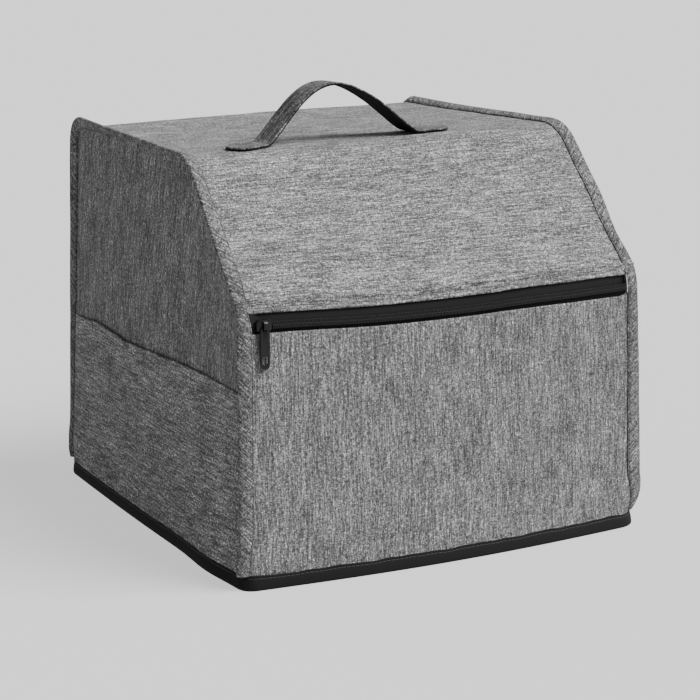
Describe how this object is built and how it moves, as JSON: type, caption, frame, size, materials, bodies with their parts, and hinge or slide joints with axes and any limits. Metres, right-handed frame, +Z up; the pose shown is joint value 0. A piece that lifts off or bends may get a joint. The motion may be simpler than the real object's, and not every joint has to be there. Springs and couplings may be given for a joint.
{
  "type": "overlock machine cover",
  "caption": "Stiff grey cloth dust cover that stands on its hem over an overlock machine, with bound edges, a sloping front, a zip across it, a side pocket and a carrying handle",
  "frame": {"origin": "on the ground under the middle of the whole cover's box", "axes": "+Z up; the zipped front faces -Y; +X is on the right seen from the front; the side pocket is on the -X side"},
  "size_m": [0.391, 0.4223, 0.3859],
  "materials": {
    "heather_cloth": "matte heathered grey canvas",
    "bias_binding": "matte heathered grey canvas, cut on the bias",
    "hem_tape": "matte black woven tape",
    "zip_tape": "smooth black tape",
    "zip_coil": "black nylon coil",
    "zip_metal": "satin black",
    "handle_cloth": "matte heathered grey canvas over webbing"
  },
  "bodies": {
    "root": {"wrap_panel": "heather_cloth", "front_panel": "heather_cloth", "side_panel_left": "heather_cloth", "side_panel_right": "heather_cloth", "side_pocket": "heather_cloth", "side_binding_left": "bias_binding", "side_binding_right": "bias_binding", "hem_binding": "hem_tape", "zip_tape_upper": "zip_tape", "zip_tape_lower": "zip_tape", "zip_chain": "zip_coil", "zip_slider": "zip_metal", "zip_pull": "zip_metal", "handle": "handle_cloth"}
  },
  "joints": []
}
